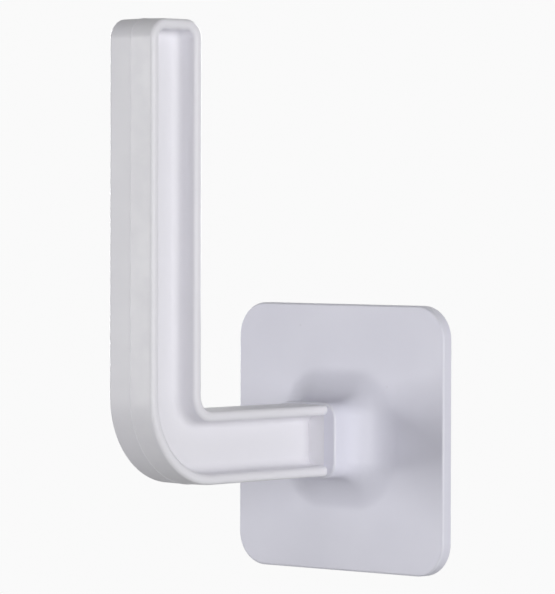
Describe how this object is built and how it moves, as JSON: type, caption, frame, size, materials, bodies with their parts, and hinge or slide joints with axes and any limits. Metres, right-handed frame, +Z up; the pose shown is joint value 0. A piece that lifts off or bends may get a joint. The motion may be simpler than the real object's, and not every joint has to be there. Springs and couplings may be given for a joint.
{
  "type": "adhesive wall hook",
  "caption": "Adhesive wall hook: a rounded square base plate with a flared boss carries an L-shaped I-section arm that runs out from the wall and turns up into a long post.",
  "frame": {"origin": "centre of the adhesive face, on the wall", "axes": "+Z up along the post, +Y into the wall, +X to the right when facing the wall"},
  "size_m": [0.06, 0.0728, 0.122],
  "materials": {
    "base_plastic": "fine moulded satin",
    "arm_plastic": "fine moulded satin",
    "screw_steel": "zinc plated",
    "tape_foam": "closed-cell foam"
  },
  "bodies": {
    "root": {"base_plate": "base_plastic", "hook_arm": "arm_plastic", "fixing_screw": "screw_steel", "adhesive_tape": "tape_foam"}
  },
  "joints": []
}
